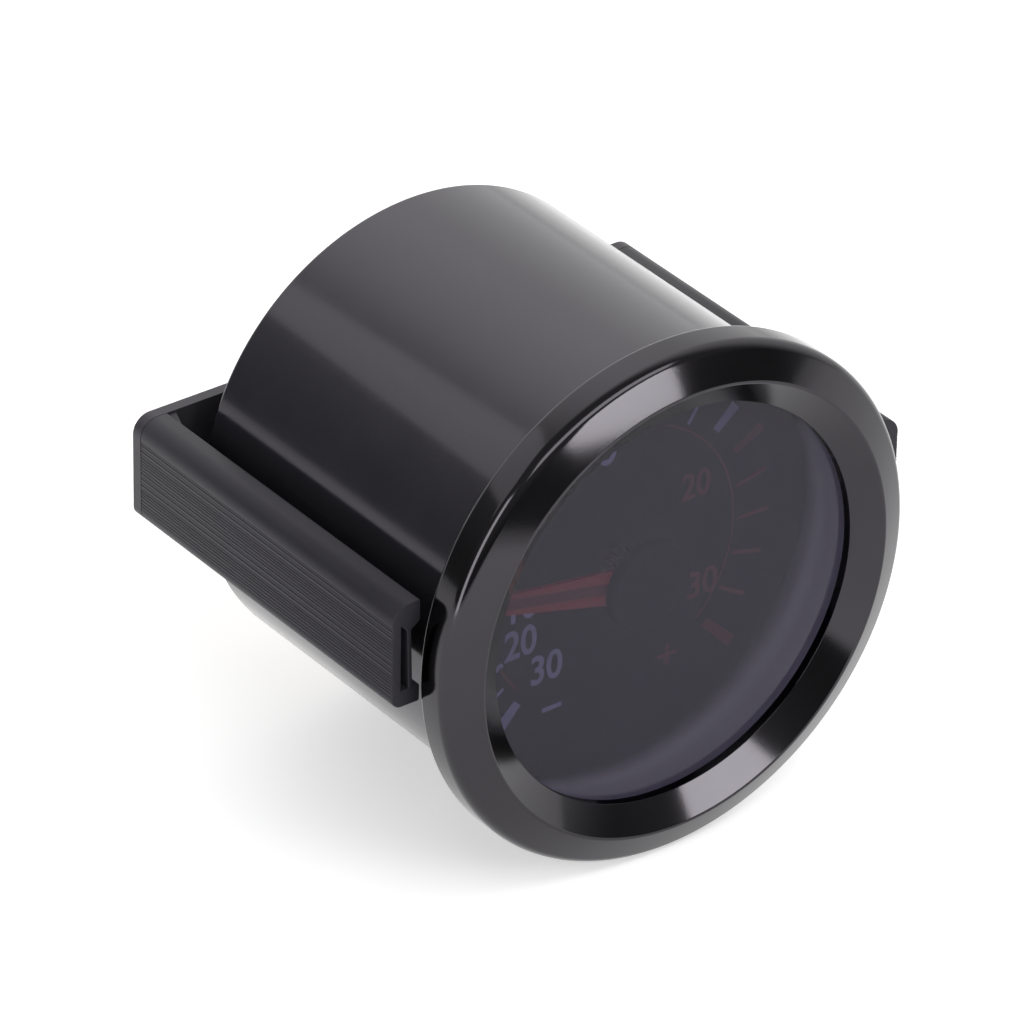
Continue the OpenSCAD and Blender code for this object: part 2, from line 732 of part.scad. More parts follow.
// Strip from the sector's tail to the tube's tip, slotted where it takes the tip pin
module link() color("#c7c9cf") translate([tail_pin[0], 0, tail_pin[1]])
    slab(link_y, link_t) rotate(link_angle) difference() {
        union() {
            circle(link_w / 2);
            translate([0, -link_w / 2]) square([link_reach + slot_out, link_w]);
            translate([link_reach + slot_out, 0]) circle(link_w / 2);
        }
        circle(link_pin_r + running_gap);
        translate([link_reach - slot_in, -link_pin_r - slot_gap])
            square([slot_in + slot_out, (link_pin_r + slot_gap) * 2]);
        for (u = [link_reach - slot_in, link_reach + slot_out])
            translate([u, 0]) circle(link_pin_r + slot_gap);
    }

module tip_pin() color("#9a9aa0")
    bar(tip, link_pin_r, link_y - link_gap, tube_y - tip_rim);

// Plug soldered in the tube's free end, with a post that reaches forward to the link
module tube_tip() color("#c9a94f") difference() {
    union() {
        slab(tube_y - tip_rim, tube_w + tip_rim * 2) rotate(tube_tip_angle)
            translate([tube_r - tube_t / 2 - tip_rim, -tip_len])
                square([tube_t + tip_rim * 2, tip_len]);
        bar(tip, tip_post_r, link_y + link_t + link_gap, tube_y);
    }
    bar(tip, link_pin_r + press_gap, link_y, tube_y - tip_rim);
}

// Flattened section as [radius, y], rounded at both edges, grown or shrunk all round
module tube_section(grow) translate([tube_r, 0]) {
    r = tube_t / 2 + grow;
    translate([-r, tube_t / 2]) square([r * 2, tube_w - tube_t]);
    for (y = [tube_t / 2, tube_w - tube_t / 2]) translate([0, y]) circle(r);
}
// The section turned through the angles from a to b, as seen from the front
module tube_sweep(a, b) translate([0, tube_y, 0]) rotate([-90, 0, 0])
    rotate([0, 0, -b]) rotate_extrude(angle = b - a) children();

module bourdon_tube() color("#c48f4a")
    tube_sweep(tube_tip_angle, tube_start) difference() {
        tube_section(0);
        tube_section(-tube_wall);
    }

movement_screw_places = [[-movement_screw_x, -port_drop], [movement_screw_x, -port_drop]];
passage_y = tube_y + tube_w / 2;

// Brass block with the threaded port behind it and passages to the tube
module socket_block() color("#c9a94f") difference() {
    union() {
        translate([-block_w / 2, block_y, block_low])
            cube([block_w, block_back_y - block_y, block_high - block_low]);
        bar(port, neck_r, block_back_y, case_depth + port_nut_t);
        bar(port, port_r, block_back_y, port_end_y - port_chamfer);
        taper(port, port_r, port_r - port_chamfer, port_end_y - port_chamfer, port_end_y);
    }
    tube_sweep(tube_start - 90, tube_start + 1) tube_section(braze_gap);
    bar(port, port_bore_r, passage_y - passage_r, port_end_y + over);
    translate([0, passage_y, -tube_r]) rotate([0, -90, 0])
        cylinder(r = passage_r, h = tube_r * sin(270 - tube_start) + over);
    translate([0, passage_y, -tube_r]) cylinder(r = passage_r, h = tube_r - port_drop);
    for (s = movement_screw_places)
        bar(s, movement_screw_r + thread_gap, block_y - over, block_y + movement_screw_len);
}

// Small plug with a fine hole that damps pressure pulses
module restrictor() color("#a9aab0") difference() {
    bar(port, port_bore_r - press_gap, port_end_y - restrictor_len * 2,
        port_end_y - restrictor_len);
    bar(port, restrictor_r, port_end_y - restrictor_len * 2 - over,
        port_end_y - restrictor_len + over);
}

// Screws that hold the back plate on the socket block
module movement_screws() color("#9a9aa0") for (s = movement_screw_places) {
    bar(s, movement_screw_r, back_plate_y, block_y + movement_screw_len);
    bar(s, small_head_r, back_plate_y - small_head_t, back_plate_y);
}

module port_ring() color("#161616") difference() {
    bar(port, neck_r + thread_gap + port_ring_w, block_back_y, cover_y);
    bar(port, neck_r + thread_gap, block_back_y - over, cover_y + over);
}

module port_nut() color("#c3a44c") difference() {
    translate([port[0], case_depth, port[1]]) rotate([-90, 0, 0])
        cylinder(d = port_nut_w / cos(30), h = port_nut_t, $fn = 6);
    bar(port, neck_r + thread_gap, case_depth - over, case_depth + port_nut_t + over);
}

grommet_flange_t = 0.8;
grommet_nose = 1.2;
// Rubber sleeve in the cover through which the lamp wires leave
module wire_grommet() color("#18181a") difference() {
    union() {
        bar(inlet, inlet_flange_r, cover_y - grommet_flange_t, cover_y);
        bar(inlet, inlet_neck_r, cover_y, case_depth);
        bar(inlet, inlet_flange_r, case_depth, case_depth + grommet_flange_t);
        taper(inlet, inlet_neck_r, inlet_bore_r + grommet_flange_t,
              case_depth + grommet_flange_t, case_depth + grommet_flange_t + grommet_nose);
    }
    bar(inlet, inlet_bore_r, cover_y - grommet_flange_t - over,
        case_depth + grommet_flange_t + grommet_nose + over);
}

module studs() color("#b9bcc4") for (s = studs) {
    bar(s, stud_head_r, cover_y - stud_head_t, cover_y);
    bar(s, stud_r, cover_y, stud_end_y - stud_tip);
    taper(s, stud_r, stud_r - stud_tip, stud_end_y - stud_tip, stud_end_y);
}

// Upright rectangle of width w whose two corners at u = 0 are rounded
module arm_outline(w) {
    translate([arm_round, 0]) square([w - arm_round, bracket_h]);
    translate([0, arm_foot_round]) square([w, bracket_h - arm_foot_round - arm_round]);
    translate([arm_foot_round, 0]) square([w - arm_foot_round, bracket_h / 2]);
    translate([arm_round, bracket_h - arm_round]) circle(arm_round);
    translate([arm_foot_round, arm_foot_round]) circle(arm_foot_round);
}

// Section of an arm: grooved outer wall, narrow slot, leaf, and lips turned in above and below
module arm_section() difference() {
    arm_outline(arm_w);
    polygon([[leaf_u + leaf_t + leaf_lean, bottom_lip_h], [arm_w + over, bottom_lip_h],
             [arm_w + over, bracket_h - top_lip_h + over * lip_slope / arm_w],
             [arm_w, bracket_h - top_lip_h], [leaf_u + leaf_t, bracket_h - top_lip_h - lip_slope]]);
    polygon([[arm_wall, bottom_lip_h], [leaf_u + leaf_lean, bottom_lip_h],
             [leaf_u, bracket_h - top_lip_h - lip_slope], [arm_wall, bracket_h - top_lip_h]]);
    for (i = [0:groove_count - 1])
        translate([-over, groove_low + (groove_high - groove_low) * i / (groove_count - 1)
                          - groove_w / 2])
            square([over + groove_d, groove_w]);
}

// An arm from its front end to the back plate, with a gusset at the rear of its top lip
module arm() difference() {
    union() {
        slab(arm_gap, arm_len) arm_section();
        translate([0, 0, bracket_h - top_lip_h]) linear_extrude(top_lip_h) polygon([
            [arm_w - over, bracket_y], [arm_w + gusset_w, bracket_y],
            [arm_w, bracket_y - gusset_len], [arm_w - over, bracket_y - gusset_len]]);
    }
    for (z = arm_screw_heights)
        bar([arm_screw_u, z], arm_screw_r + thread_gap, bracket_y - arm_screw_len - over,
            bracket_y + over);
}
arm_screw_heights = [bracket_h / 2 - arm_screw_spacing / 2, bracket_h / 2 + arm_screw_spacing / 2];

module left_arm() color("#3c3b40") translate([-half_w, 0, bracket_z]) arm();
module right_arm() color("#3c3b40") mirror([1, 0, 0]) translate([-half_w, 0, bracket_z]) arm();

// The four places of the arm screws
arm_screw_places = [for (side = [-1, 1], z = arm_screw_heights)
    [side * (half_w - arm_screw_u), bracket_z + z]];

module bracket_plate() color("#3c3b40") difference() {
    translate([-half_w, 0, bracket_z]) slab(bracket_y, bracket_t) {
        arm_outline(half_w + over);
        translate([half_w * 2, 0]) mirror([1, 0]) arm_outline(half_w + over);
    }
    for (s = studs) bar(s, stud_r + stud_gap, bracket_y - over, bracket_y + bracket_t + over);
    for (s = arm_screw_places) {
        bar(s, arm_screw_r + thread_gap, bracket_y - over, bracket_y + bracket_t + over);
        bar(s, arm_screw_head_r + thread_gap, bracket_y + bracket_t - arm_screw_sink,
            bracket_y + bracket_t + over);
    }
}

// Cheese-head screws sunk flush in the back plate, one pair to each arm
module arm_screws() color("#8f9096") for (s = arm_screw_places)
    pan_screw(s, arm_screw_r, arm_screw_len, arm_screw_head_r, arm_screw_sink,
              bracket_y + bracket_t - arm_screw_sink);

module flat_washers() color("#b9bcc4") for (s = studs) difference() {
    bar(s, washer_r, washer_y, spring_washer_y);
    bar(s, stud_r + stud_gap, washer_y - over, spring_washer_y + over);
}

split_w = 0.5;
// Split rings, drawn flat as the tight nut leaves them
module spring_washers() color("#a6a8ae") for (s = studs) difference() {
    bar(s, spring_washer_r, spring_washer_y, nut_y);
    bar(s, stud_r + stud_gap, spring_washer_y - over, nut_y + over);
    translate([s[0] - split_w / 2, spring_washer_y - over, s[1]])
        cube([split_w, spring_washer_t + over * 2, spring_washer_r + over]);
}

// Thumb nut with a plain collar towards the washer and ridges behind it
module thumb_nut(place) color("#c3a44c") difference() {
    union() {
        bar(place, nut_r - nut_groove * 2, nut_y, nut_y + nut_t);
        translate([place[0], 0, place[1]]) slab(nut_y + nut_collar_t, nut_t - nut_collar_t)
            polygon([for (i = [0:nut_ridges * 2 - 1])
                polar(nut_r - nut_groove * (i % 2), 180 * i / nut_ridges)]);
    }
    bar(place, stud_r + thread_gap, nut_y - over, nut_y + nut_t + over);
}
module left_thumb_nut() thumb_nut(studs[0]);
module right_thumb_nut() thumb_nut(studs[1]);

bezel();
lens();
lens_gasket();
spacer_ring();
case_body();
rear_cover();
cover_screws();
dial_plate();
pointer();
hub_cap();
pinion_arbor();
hairspring();
hairspring_collet();
hairspring_anchor();
reflector_tray();
lamp_board();
lamps();
tray_screws();
front_plate();
back_plate();
pillars();
stop_pins();
sector_gear();
sector_arbor();
tail_pin();
link();
tip_pin();
tube_tip();
bourdon_tube();
socket_block();
restrictor();
movement_screws();
port_ring();
port_nut();
wire_grommet();
studs();
bracket_plate();
left_arm();
right_arm();
arm_screws();
flat_washers();
spring_washers();
left_thumb_nut();
right_thumb_nut();
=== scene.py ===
import math

import bpy
from mathutils import Matrix, Vector


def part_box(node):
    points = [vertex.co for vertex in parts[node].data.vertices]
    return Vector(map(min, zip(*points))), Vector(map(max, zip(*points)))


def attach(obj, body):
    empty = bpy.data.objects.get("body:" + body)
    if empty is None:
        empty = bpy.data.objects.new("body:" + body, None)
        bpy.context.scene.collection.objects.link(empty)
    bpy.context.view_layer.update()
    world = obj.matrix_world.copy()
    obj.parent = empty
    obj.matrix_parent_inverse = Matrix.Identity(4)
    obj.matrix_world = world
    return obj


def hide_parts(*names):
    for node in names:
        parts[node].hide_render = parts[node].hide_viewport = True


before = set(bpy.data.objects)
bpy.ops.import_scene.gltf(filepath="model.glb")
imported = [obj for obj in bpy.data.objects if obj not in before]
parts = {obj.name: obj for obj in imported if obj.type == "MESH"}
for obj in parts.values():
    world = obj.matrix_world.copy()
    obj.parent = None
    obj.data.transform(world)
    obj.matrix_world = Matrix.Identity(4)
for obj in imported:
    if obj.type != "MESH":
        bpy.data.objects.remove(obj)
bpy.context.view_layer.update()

mm = 0.001


# Socket block: the brass foot that carries the whole movement. It is milled from bar, cross-drilled
# to the Bourdon tube, and its threaded stem leaves through the rear cover to take the hose fitting.
class Wire:
    """One output of a node, so that shader maths reads as plain sums."""

    def __init__(self, finish, socket):
        self.finish, self.socket = finish, socket

    def maths(self, operation, a, b=0.0):
        return self.finish.node("Math", {"operation": operation}, {0: a, 1: b})

    def __add__(self, other):
        return self.maths("ADD", self, other)

    def __sub__(self, other):
        return self.maths("SUBTRACT", self, other)

    def __rsub__(self, other):
        return self.maths("SUBTRACT", other, self)

    def __mul__(self, other):
        return self.maths("MULTIPLY", self, other)

    def __abs__(self):
        return self.maths("ABSOLUTE", self)

    __radd__, __rmul__ = __add__, __mul__

    def step(self, low, high):
        """0 under low, 1 over high and smooth between them."""
        return self.finish.node("MapRange", {"interpolation_type": "SMOOTHSTEP"},
                                {"Value": self, "From Min": low, "From Max": high})


class Finish:
    """A material round one Principled shader."""

    def __init__(self, name, fixed):
        self.material = bpy.data.materials.new(name)
        self.material.use_nodes = True
        self.tree = self.material.node_tree
        self.shader = self.tree.nodes["Principled BSDF"]
        self.feed(fixed)
        self.place = self.node("TexCoord", out="Object")

    def join(self, value, socket):
        if isinstance(value, Wire):
            self.tree.links.new(value.socket, socket)
        else:
            socket.default_value = value

    def node(self, kind, settings={}, inputs={}, out=0):
        made = self.tree.nodes.new("ShaderNode" + kind)
        for key, value in settings.items():
            if key == "stops":
                while len(made.color_ramp.elements) < len(value):
                    made.color_ramp.elements.new(0.5)
                for element, (at, colour) in zip(made.color_ramp.elements, value):
                    element.position, element.color = at, colour
            else:
                setattr(made, key, value)
        for key, value in inputs.items():
            self.join(value, made.inputs[key])
        return Wire(self, made.outputs[out])

    def feed(self, inputs):
        for key, value in inputs.items():
            self.join(value, self.shader.inputs[key])

    def grain(self, size, detail=2.0, stretch=(1, 1, 1)):
        """Noise from 0 to 1 whose lumps are about size millimetres across."""
        spot = self.node("Mapping", {}, {"Vector": self.place, "Scale": stretch})
        return self.node("TexNoise", {}, {"Vector": spot, "Scale": 1 / (size * mm),
                                          "Detail": detail, "Roughness": 0.6})

    def blend(self, share, one, other):
        return self.node("Mix", {"data_type": "RGBA"}, {0: share, 6: one, 7: other}, 2)

    def bump(self, height, depth):
        """Relief of depth millimetres from a height between 0 and 1."""
        self.feed({"Normal": self.node("Bump", {}, {"Height": height, "Distance": depth * mm,
                                                    "Strength": 1.0})})


def shade(red, green, blue):
    return (red, green, blue, 1)


def dress(finish, *names):
    """The finish goes on the CAD nodes with these names."""
    for name in names:
        for slot in parts[name].material_slots:
            slot.material = finish.material


def cut_metal(name, light, dark, rough):
    """Turned or milled metal: fine tool marks, a little tarnish, uneven gloss."""
    finish = Finish(name, {"Metallic": 1.0})
    marks, cloud = finish.grain(0.12, 3, (1, 0.15, 1)), finish.grain(2.5, 3)
    finish.feed({"Base Color": finish.blend(cloud.step(0.35, 0.7), light, dark),
                 "Roughness": rough + 0.14 * cloud + 0.1 * marks})
    finish.bump(marks, 0.01)
    return finish


brass = cut_metal("machined_brass", shade(0.68, 0.47, 0.17), shade(0.47, 0.3, 0.1), 0.16)


def piece(name, verts, faces, finish, body, slot, crease=35):
    """A new piece from corners in millimetres, smooth except at edges sharper than crease."""
    mesh = bpy.data.meshes.new(name)
    mesh.from_pydata([tuple(v * mm for v in vert) for vert in verts], [], faces)
    mesh.validate()
    for polygon in mesh.polygons:
        polygon.use_smooth = True
    mesh.set_sharp_from_angle(angle=math.radians(crease))
    mesh.materials.append(finish.material)
    made = bpy.data.objects.new(name, mesh)
    bpy.context.scene.collection.objects.link(made)
    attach(made, body)
    return made


def rounded(corners, steps=8):
    """An outline of [radius, y] corners, each with the radius of its rounding."""
    path = []
    for i, (r, y, fillet) in enumerate(corners):
        here = Vector((r, y))
        before = Vector(corners[i - 1][:2]) - here
        after = Vector(corners[(i + 1) % len(corners)][:2]) - here
        if not fillet:
            path.append((r, y))
            continue
        before.normalize()
        after.normalize()
        half = before.angle(after) / 2
        trim = fillet / math.tan(half)
        start, end = here + before * trim, here + after * trim
        centre = here + (before + after).normalized() * (fillet / math.sin(half))
        for s in range(steps + 1):
            point = start.lerp(end, s / steps) - centre
            path.append(tuple(centre + point.normalized() * fillet))
    return path


def lathe(path, place=(0, 0), around=160):
    """Corners and faces of a closed ring turned about the line along Y at place."""
    verts, faces = [], []
    for i in range(around):
        a = 2 * math.pi * i / around
        for r, y in path:
            verts.append((place[0] + r * math.cos(a), y, place[1] + r * math.sin(a)))
    n = len(path)
    for i in range(around):
        for k in range(n):
            j, m = (i + 1) % around, (k + 1) % n
            faces.append((i * n + k, i * n + m, j * n + m, j * n + k))
    return verts, faces


def gather(*shapes):
    """Several shapes as one list of corners and one of faces."""
    verts, faces = [], []
    for more_verts, more_faces in shapes:
        base = len(verts)
        verts += more_verts
        faces += [tuple(base + v for v in face) for face in more_faces]
    return verts, faces


def brick(low, high, edge=0.3):
    """A block between two corners, with chamfered edges all round."""
    verts, faces = [], []
    centre = [(a + b) / 2 for a, b in zip(low, high)]
    half = [(b - a) / 2 for a, b in zip(low, high)]
    index = {}
    for sx in (-1, 1):
        for sy in (-1, 1):
            for sz in (-1, 1):
                for axis in range(3):
                    s = (sx, sy, sz)
                    index[s, axis] = len(verts)
                    verts.append(tuple(c + t * (h - (0 if a == axis else edge))
                                       for a, (c, h, t) in enumerate(zip(centre, half, s))))
                faces.append(tuple(index[(sx, sy, sz), a] for a in range(3))[::sx * sy * sz])
    for axis in range(3):
        u, v = [a for a in range(3) if a != axis]
        for side in (-1, 1):
            ring = []
            for su, sv in ((-1, -1), (1, -1), (1, 1), (-1, 1)):
                s = [0, 0, 0]
                s[axis], s[u], s[v] = side, su, sv
                ring.append(index[tuple(s), axis])
            faces.append(tuple(ring[::side * (-1 if axis == 1 else 1)]))
        for su in (-1, 1):
            for sv in (-1, 1):
                ends = []
                for side in (-1, 1):
                    s = [0, 0, 0]
                    s[axis], s[u], s[v] = side, su, sv
                    ends.append((index[tuple(s), u], index[tuple(s), v]))
                quad = (ends[0][0], ends[0][1], ends[1][1], ends[1][0])
                faces.append(quad[::su * sv * (1 if axis == 1 else -1)])
    return verts, faces


def screw_thread(place, crest, depth, pitch, start, end, bore, around=72, slope=0.0):
    """A threaded rod or tube along Y: a ridge winds round it and fades out at both ends."""
    rows = max(2, round((end - start) / pitch * 10))
    verts, faces = [], []
    for k in range(rows + 1):
        y = start + (end - start) * k / rows
        fade = min(1, (y - start) / pitch, (end - y) / pitch)
        for i in range(around):
            a = 2 * math.pi * i / around
            saw = (y / pitch - i / around) % 1
            ridge = min(1, max(0, 1.6 * (1 - abs(2 * saw - 1)) - 0.2))
            r = crest - slope * (y - start) - depth * (1 - ridge * fade)
            verts.append((place[0] + r * math.cos(a), y, place[1] + r * math.sin(a)))
    for k in range(rows):
        for i in range(around):
            j = (i + 1) % around
            here, ahead = k * around, (k + 1) * around
            faces.append((here + i, ahead + i, ahead + j, here + j))
    for y, last, flip in ((start, 0, 1), (end, rows, -1)):
        base = len(verts)
        for i in range(around):
            a = 2 * math.pi * i / around
            verts.append((place[0] + bore * math.cos(a), y, place[1] + bore * math.sin(a)))
        for i in range(around):
            j = (i + 1) % around
            faces.append((last * around + i, last * around + j, base + j, base + i)[::flip])
    near, far = len(verts) - 2 * around, len(verts) - around
    for i in range(around):
        j = (i + 1) % around
        faces.append((near + i, near + j, far + j, far + i))
    return verts, faces


block_low, block_high = (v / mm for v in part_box("socket_block"))
stem_z, stem_r, neck_r, stem_bore, stem_root = -13, 5.14, 5.5, 1.5, 4
stem_depth, stem_pitch, stem_taper = 0.55, 0.94, 0.01
cover_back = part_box("case_body")[1].y / mm
neck_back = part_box("port_nut")[1].y / mm
block_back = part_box("port_ring")[0].y / mm
block = piece("socket_block_threaded", *gather(
    brick(block_low, (block_high.x, block_back, block_high.z), 0.4),
    lathe(rounded([(stem_bore, block_back - stem_root, 0), (neck_r, block_back - stem_root, 0),
                   (neck_r, neck_back, 0.15), (stem_bore, neck_back, 0)]), (0, stem_z), 96),
    screw_thread((0, stem_z), stem_r, stem_depth, stem_pitch, neck_back - 0.2, block_high.y,
                 stem_bore, 96, stem_taper)), brass, "case", "brass")
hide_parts("socket_block")

# Bourdon tube: flattened phosphor-bronze tube bent into a C. It is soldered into the block, and
# pressure makes its free end, closed with a brass plug, move outwards and pull the link.
bronze = cut_metal("drawn_bronze", shade(0.62, 0.33, 0.14), shade(0.36, 0.18, 0.08), 0.24)
dress(bronze, "bourdon_tube")
dress(brass, "tube_tip")

# Movement: two round brass plates on pillars, with a toothed sector that turns the pinion. The
# pins, the link and the screws are plated steel.
plated_steel = cut_metal("plated_steel", shade(0.62, 0.63, 0.65), shade(0.42, 0.42, 0.43), 0.2)
stamped_brass = cut_metal("stamped_brass", shade(0.74, 0.53, 0.21), shade(0.55, 0.36, 0.13), 0.24)
dress(stamped_brass, "front_plate", "back_plate", "sector_gear")
dress(brass, "pillars", "pinion_arbor", "hairspring_collet", "hairspring_anchor")
dress(plated_steel, "stop_pins", "sector_arbor", "tail_pin", "link", "tip_pin", "movement_screws",
      "restrictor", "tray_screws")

# Hairspring: a flat coil of bright bronze strip. Its inner end is held in the pinion's collet and
# its outer end on the back plate, and it takes up the play between the gears.
spring_strip = cut_metal("spring_strip", shade(0.66, 0.62, 0.55), shade(0.45, 0.4, 0.33), 0.12)
dress(spring_strip, "hairspring")


# Lighting: a white moulded cup behind the dial spreads the light of eight small lamps. They are
# soldered on a green lacquered board, and screws hold cup and board to the movement.
def moulded(name, colour, rough, pit=0.006):
    """Moulded plastic or rubber: faint mottling and the fine pitting of the mould."""
    finish = Finish(name, {})
    fine, broad = finish.grain(0.15, 3), finish.grain(4, 2)
    paler = tuple(min(1, c * 1.25 + 0.002) for c in colour[:3]) + (1,)
    finish.feed({"Base Color": finish.blend(broad, colour, paler),
                 "Roughness": rough + 0.12 * fine})
    finish.bump(fine, pit)
    return finish


dress(moulded("white_plastic", shade(0.72, 0.71, 0.67), 0.42), "reflector_tray")
dress(moulded("green_lacquer", shade(0.012, 0.1, 0.035), 0.2), "lamp_board")
dress(moulded("lamp_resin", shade(0.78, 0.74, 0.55), 0.12, 0.001), "lamps")

# Dial: a thin disc with a matt dark screen print. Its scale has a vacuum part on the lower left
# and a pressure part over the top and down the right, which turns red at 20.
dial_ink = moulded("dial_black", shade(0.0085, 0.008, 0.0095), 0.6, 0.0006)
dial_ink.feed({"Specular IOR Level": 0.15})
dress(dial_ink, "dial_plate")
pale_ink = moulded("pale_blue_print", shade(0.4, 0.375, 0.78), 0.5, 0.002)
red_ink = moulded("red_print", shade(0.165, 0.0125, 0.026), 0.5, 0.002)
dial_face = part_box("dial_plate")[0].y / mm
print_front, print_back = dial_face - 0.04, dial_face + 0.01


def stroke(points, width_in, width_out):
    """A flat bar of ink along the points [x, z], as wide as given at each end."""
    verts, faces, n = [], [], len(points)
    for i, (x, z) in enumerate(points):
        ahead = Vector(points[min(i + 1, n - 1)]) - Vector(points[max(i - 1, 0)])
        side = Vector((-ahead.y, ahead.x)).normalized()
        half = (width_in + (width_out - width_in) * i / (n - 1)) / 2
        for s in (-1, 1):
            for y in (print_front, print_back):
                verts.append((x + s * half * side.x, y, z + s * half * side.y))
    for i in range(n - 1):
        a, b = 4 * i, 4 * i + 4
        faces += [(a, b, b + 2, a + 2), (a + 1, a + 3, b + 3, b + 1),
                  (a, a + 1, b + 1, b), (a + 2, b + 2, b + 3, a + 3)]
    end = 4 * (n - 1)
    faces += [(0, 2, 3, 1), (end, end + 1, end + 3, end + 2)]
    return verts, faces


def spoke(angle, inner, outer, width):
    a = math.radians(angle)
    return stroke([(r * math.cos(a), r * math.sin(a)) for r in (inner, outer)], width * 0.8, width)


def sweep(radius, start, end, width):
    steps = max(2, round(abs(end - start) / 2))
    turns = [math.radians(start + (end - start) * i / steps) for i in range(steps + 1)]
    return stroke([(radius * math.cos(a), radius * math.sin(a)) for a in turns], width, width)


def number(digits, left, right, low, high):
    """Plain digits pressed into the box that they fill on the dial."""
    curve = bpy.data.curves.new("digits", "FONT")
    curve.body, curve.offset = digits, 0.018
    text = bpy.data.objects.new("digits", curve)
    bpy.context.scene.collection.objects.link(text)
    bpy.context.view_layer.update()
    mesh = bpy.data.meshes.new_from_object(text)
    bpy.data.objects.remove(text)
    xs, ys = [v.co.x for v in mesh.vertices], [v.co.y for v in mesh.vertices]
    across, up = (right - left) / (max(xs) - min(xs)), (high - low) / (max(ys) - min(ys))
    verts = [(left + (x - min(xs)) * across, print_front, low + (y - min(ys)) * up)
             for x, y in zip(xs, ys)]
    faces = [tuple(polygon.vertices) for polygon in mesh.polygons]
    bpy.data.meshes.remove(mesh)
    edges = {}
    for face in faces:
        for a, b in zip(face, face[1:] + face[:1]):
            edges[a, b] = edges.get((a, b), 0) + 1
    rim = [(a, b) for a, b in edges if (b, a) not in edges]
    n = len(verts)
    verts += [(x, print_back, z) for x, y, z in verts]
    back = [tuple(v + n for v in face[::-1]) for face in faces]
    faces += [(b, a, a + n, b + n) for a, b in rim] + back
    return verts, faces


zero, per_unit = 171, 7.2
tick_in, half_in, tick_out = 15.6, 17, 19.4
pale = [spoke(zero - per_unit * v, tick_in, tick_out, 0.45) for v in range(2, 18, 2) if v != 10]
pale += [spoke(zero - per_unit * v, 15.2, 19.6, 1.1) for v in (0, 10)]
pale += [spoke(angle, tick_in, tick_out, 0.7) for angle in (189, 207)]
pale += [spoke(angle, half_in, tick_out, 0.4) for angle in (180, 198, 216)]
pale += [spoke(41.5, 16.5, 19.8, 1.3), spoke(226, 17.2, 20.3, 1.4)]
pale += [number("10", -12.95, -9.7, -2.75, 0.75), number("20", -13.7, -9.7, -7.05, -3.55),
         number("30", -10.3, -6.4, -11.1, -7.65), number("10", -4.1, -0.2, 11.7, 15.2)]
# A plain minus sign and plus sign stand for the two halves of the scale.
sign_w = 0.5
pale += [stroke([(-8.8, -14.5), (-6.4, -14.5)], sign_w, sign_w)]
red = [spoke(27.3, 16.7, 20.6, 1.2), spoke(-44.5, 16.4, 21.5, 1.3)]
red += [spoke(27 - 2 * per_unit * k, 15.7, 19.5, 0.5) for k in range(1, 5)]
red += [sweep(15, 66, -45, 0.2), sweep(16.1, 207, 221, 0.3)]
red += [number("20", 8.2, 11.9, 3.9, 7.1), number("30", 9.4, 13.2, -8.1, -4.9)]
red += [stroke(bar, sign_w, sign_w) for bar in (
    [(5.8, -13.6), (8.2, -13.6)], [(7, -14.8), (7, -13.87)], [(7, -13.33), (7, -12.4)])]
piece("dial_print_pale", *gather(*pale), pale_ink, "case", "dial_grey")
piece("dial_print_red", *gather(*red), red_ink, "case", "dial_grey")

# Spacer ring: a moulded pale violet-grey plastic wall that holds the dial and the lens apart. It
# catches light near the glass and shows there as a crescent. Towards the dial its colour is
# painted dark, as painted shade.
spacer_violet = moulded("spacer_violet", shade(0.7, 0.67, 0.88), 0.32)
# Painted shade: the wall is pale violet near the lens and fades to near black towards the dial.
depth = spacer_violet.node("SeparateXYZ", {}, {"Vector": spacer_violet.place}, "Y")
spacer_violet.feed({"Base Color": spacer_violet.blend(
    depth.step(3 * mm, 6 * mm), shade(0.8, 0.76, 1), shade(0.05, 0.045, 0.065))})
dress(spacer_violet, "spacer_ring")

# Pointer: a moulded red blade with a shallow valley between its two lit edges, under a black cap
# that snaps on its hub. The valley is painted a darker red than the edges, as painted shade.
blade = Finish("pointer_red", {"Roughness": 0.35})
x, z = (blade.node("SeparateXYZ", {}, {"Vector": blade.place}, out) for out in ("X", "Z"))
lean = math.radians(168)
off_middle = abs(x * math.sin(lean) - z * math.cos(lean))
# Painted shade: this mask darkens the middle of the blade and also shapes the valley's bump.
valley_and_painted_shade = off_middle.step(0.4 * mm, 0.85 * mm)
blade.feed({"Base Color": blade.blend(valley_and_painted_shade, shade(0.18, 0.007, 0.018), shade(0.5, 0.04, 0.06))})
blade.bump(valley_and_painted_shade, 0.08)
dress(blade, "pointer")
cap_matt = moulded("cap_black", shade(0.0075, 0.007, 0.0085), 0.6, 0.001)
cap_matt.feed({"Specular IOR Level": 0.12})
dress(cap_matt, "hub_cap")


# Case: a drawn steel can in black stove enamel. The enamel is smooth along the can and shows faint
# lengthwise lines, and its rear edge is rounded where the cover drops in.
def enamel(name, colour, rough, wave, shine=0.5):
    finish = Finish(name, {"Specular IOR Level": shine, "Specular Tint": shade(0.96, 0.88, 1)})
    lines, skin = finish.grain(0.5, 2, (1, 0.02, 1)), finish.grain(0.25, 2)
    dust = finish.grain(6, 3)
    paler = tuple(c * 1.5 for c in colour[:3]) + (1,)
    finish.feed({"Base Color": finish.blend(dust, colour, paler),
                 "Roughness": rough + 0.08 * lines + 0.06 * dust})
    finish.bump(lines * 0.5 + skin * 0.5, wave)
    return finish


